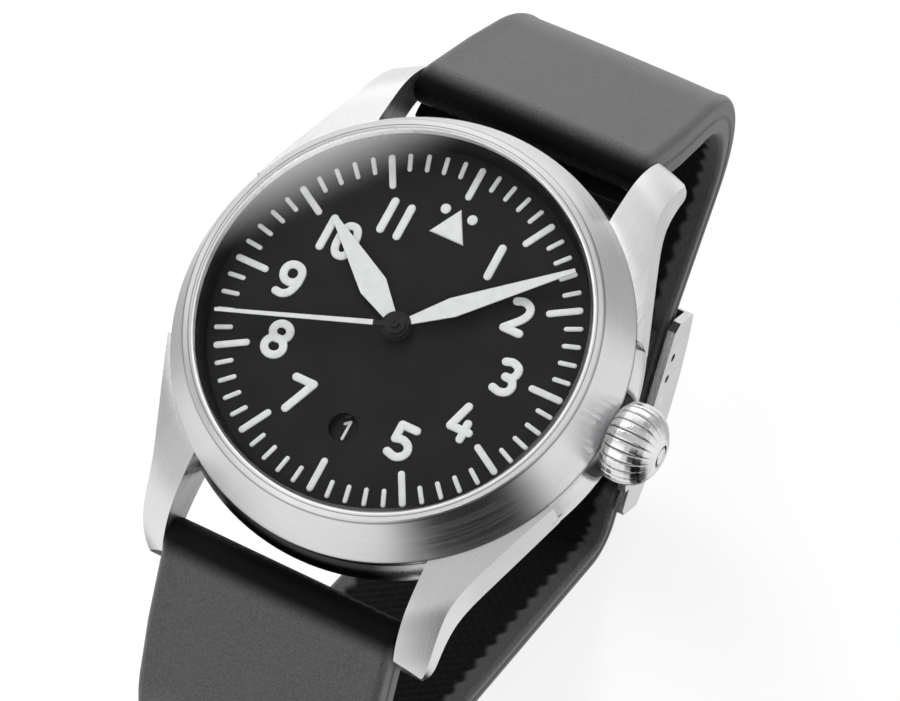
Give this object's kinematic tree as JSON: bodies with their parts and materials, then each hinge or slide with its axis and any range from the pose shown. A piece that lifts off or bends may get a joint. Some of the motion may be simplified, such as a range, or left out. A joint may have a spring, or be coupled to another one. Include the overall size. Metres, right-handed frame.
{
  "type": "pilot watch",
  "caption": "Automatic wristwatch with a steel case, black dial, flat crystal, fluted crown and a rubber strap closed by a folding clasp.",
  "frame": {"origin": "centre of the case back's outer face, on the dial's axis", "axes": "+Z out of the dial, +Y to 12 o'clock, +X to the crown at 3 o'clock"},
  "size_m": [0.0439, 0.073, 0.0602],
  "materials": {
    "case_steel": "satin brushed stainless steel with polished ridges",
    "polished_steel": "polished stainless steel",
    "clasp_steel": "brushed stainless steel sheet with polished edges",
    "spring_bar_steel": "turned stainless steel",
    "sapphire": "clear flat sapphire with a bevelled edge",
    "seal_nylon": "translucent nylon seal",
    "black_flange": "matte black painted ring",
    "dial_black": "matte black painted dial",
    "white_lume": "raised white luminous paint",
    "hand_white": "white luminous hands with black hub",
    "date_black": "black date ring",
    "holder_plastic": "moulded movement holder ring",
    "plated_brass": "nickel plated brass with graining",
    "wheel_brass": "gilt brass wheels",
    "works_steel": "hardened and polished steel",
    "strap_rubber": "matte dark grey rubber with fine grain"
  },
  "bodies": {
    "case": {"case_middle": "case_steel", "crown_tube": "spring_bar_steel", "bezel": "case_steel", "crystal": "sapphire", "crystal_gasket": "seal_nylon", "inner_flange": "black_flange", "case_back": "case_steel", "case_back_seal": "seal_nylon", "dial": "dial_black", "dial_marks": "white_lume", "main_plate": "plated_brass", "movement_holder": "holder_plastic", "train_bridge": "plated_brass", "barrel_bridge": "plated_brass", "balance_cock": "plated_brass", "pallet_cock": "plated_brass", "rotor_bearing": "plated_brass", "spring_bar_12": "spring_bar_steel", "spring_bar_6": "spring_bar_steel"},
    "seconds": {"fourth_wheel": "wheel_brass", "second_hand": "hand_white"},
    "minutes": {"centre_wheel": "wheel_brass", "cannon_pinion": "works_steel", "minute_hand": "hand_white"},
    "hours": {"hour_wheel": "wheel_brass", "hour_hand": "hand_white"},
    "third": {"third_wheel": "wheel_brass"},
    "motion_wheel": {"minute_wheel": "wheel_brass"},
    "escape": {"escape_wheel": "works_steel"},
    "barrel_drum": {"barrel": "wheel_brass", "mainspring": "works_steel"},
    "winding_ratchet": {"ratchet_wheel": "works_steel", "barrel_arbor": "works_steel"},
    "fork": {"pallet_fork": "works_steel"},
    "balance": {"balance_wheel": "wheel_brass", "hairspring": "works_steel"},
    "date": {"date_ring": "date_black"},
    "winding_rotor": {"rotor": "plated_brass"},
    "winding_drive": {"winding_pinion": "spring_bar_steel"},
    "crown_and_stem": {"stem": "spring_bar_steel", "crown": "polished_steel"},
    "strap_12_half": {"strap_12": "strap_rubber", "strap_tubes": "polished_steel", "clasp_cover": "clasp_steel", "clasp_bar": "polished_steel", "cover_hinge_pin": "polished_steel"},
    "fold_1": {"clasp_blade_1": "clasp_steel", "far_hinge_pin": "polished_steel"},
    "fold_2": {"clasp_blade_2": "clasp_steel"},
    "strap_6_half": {"strap_6": "strap_rubber", "strap_6_end_bar": "polished_steel"},
    "push_right": {"clasp_button_right": "polished_steel"},
    "push_left": {"clasp_button_left": "polished_steel"}
  },
  "joints": [
    {"name": "second_hand_turn", "type": "hinge", "parent": "case", "child": "seconds", "pos_m": [0, 0, 0.008], "axis": [0, 0, -1], "continuous": true},
    {"name": "minute_hand_turn", "type": "hinge", "parent": "case", "child": "minutes", "pos_m": [0, 0, 0.008], "axis": [0, 0, -1], "continuous": true},
    {"name": "hour_hand_turn", "type": "hinge", "parent": "case", "child": "hours", "pos_m": [0, 0, 0.008], "axis": [0, 0, -1], "continuous": true},
    {"name": "third_wheel_turn", "type": "hinge", "parent": "case", "child": "third", "pos_m": [-0.00405, 0, 0.004], "axis": [0, 0, -1], "continuous": true},
    {"name": "minute_wheel_turn", "type": "hinge", "parent": "case", "child": "motion_wheel", "pos_m": [-0.00244, -0.00089, 0.0062], "axis": [0, 0, -1], "continuous": true},
    {"name": "escape_wheel_turn", "type": "hinge", "parent": "case", "child": "escape", "pos_m": [0, -0.00413, 0.0045], "axis": [0, 0, -1], "continuous": true},
    {"name": "barrel_turn", "type": "hinge", "parent": "case", "child": "barrel_drum", "pos_m": [0.00154, 0.00575, 0.0045], "axis": [0, 0, -1], "continuous": true},
    {"name": "ratchet_turn", "type": "hinge", "parent": "case", "child": "winding_ratchet", "pos_m": [0.00154, 0.00575, 0.0026], "axis": [0, 0, -1], "continuous": true},
    {"name": "pallet_fork_rock", "type": "hinge", "parent": "case", "child": "fork", "pos_m": [0.00186, -0.00509, 0.0045], "axis": [0, 0, 1], "range_deg": [-6, 6]},
    {"name": "balance_swing", "type": "hinge", "parent": "case", "child": "balance", "pos_m": [0.00453, -0.00647, 0.0037], "axis": [0, 0, 1], "range_deg": [-270, 270]},
    {"name": "date_ring_turn", "type": "hinge", "parent": "case", "child": "date", "pos_m": [0, 0, 0.0067], "axis": [0, 0, -1], "continuous": true},
    {"name": "rotor_turn", "type": "hinge", "parent": "case", "child": "winding_rotor", "pos_m": [0, 0, 0.0016], "axis": [0, 0, 1], "continuous": true},
    {"name": "crown_turn", "type": "hinge", "parent": "case", "child": "winding_drive", "pos_m": [0, 0, 0.0044], "axis": [1, 0, 0], "continuous": true},
    {"name": "crown_pull", "type": "slide", "parent": "winding_drive", "child": "crown_and_stem", "axis": [1, 0, 0], "range_m": [0, 0.0009]},
    {"name": "strap_12_swing", "type": "hinge", "parent": "case", "child": "strap_12_half", "pos_m": [0, 0.0224, 0.0006], "axis": [1, 0, 0], "range_deg": [0, 30]},
    {"name": "fold_1_turn", "type": "hinge", "parent": "strap_12_half", "child": "fold_1", "pos_m": [0, 0.00792, -0.04257], "axis": [1, 0, 0], "range_deg": [0, 68]},
    {"name": "fold_2_turn", "type": "hinge", "parent": "fold_1", "child": "fold_2", "pos_m": [0, 0.01862, -0.03231], "axis": [1, 0, 0], "range_deg": [-99, 0]},
    {"name": "strap_6_swing", "type": "hinge", "parent": "case", "child": "strap_6_half", "pos_m": [0, -0.0224, 0.0006], "axis": [-1, 0, 0], "range_deg": [0, 30]},
    {"name": "right_button_push", "type": "slide", "parent": "strap_12_half", "child": "push_right", "axis": [-1, 0, 0], "range_m": [0, 0.0004], "stiffness_N_per_m": 400},
    {"name": "left_button_push", "type": "slide", "parent": "strap_12_half", "child": "push_left", "axis": [1, 0, 0], "range_m": [0, 0.0004], "stiffness_N_per_m": 400}
  ],
  "couplings": [
    {"joint": "third_wheel_turn", "follows": "second_hand_turn", "ratio": -0.13333},
    {"joint": "minute_hand_turn", "follows": "second_hand_turn", "ratio": 0.016667},
    {"joint": "hour_hand_turn", "follows": "second_hand_turn", "ratio": 0.0013889},
    {"joint": "minute_wheel_turn", "follows": "second_hand_turn", "ratio": -0.0055556},
    {"joint": "escape_wheel_turn", "follows": "second_hand_turn", "ratio": -10},
    {"joint": "barrel_turn", "follows": "second_hand_turn", "ratio": -0.0027778},
    {"joint": "fold_1_turn", "follows": "strap_12_swing", "ratio": 2.24},
    {"joint": "fold_2_turn", "follows": "strap_12_swing", "ratio": -3.28}
  ]
}
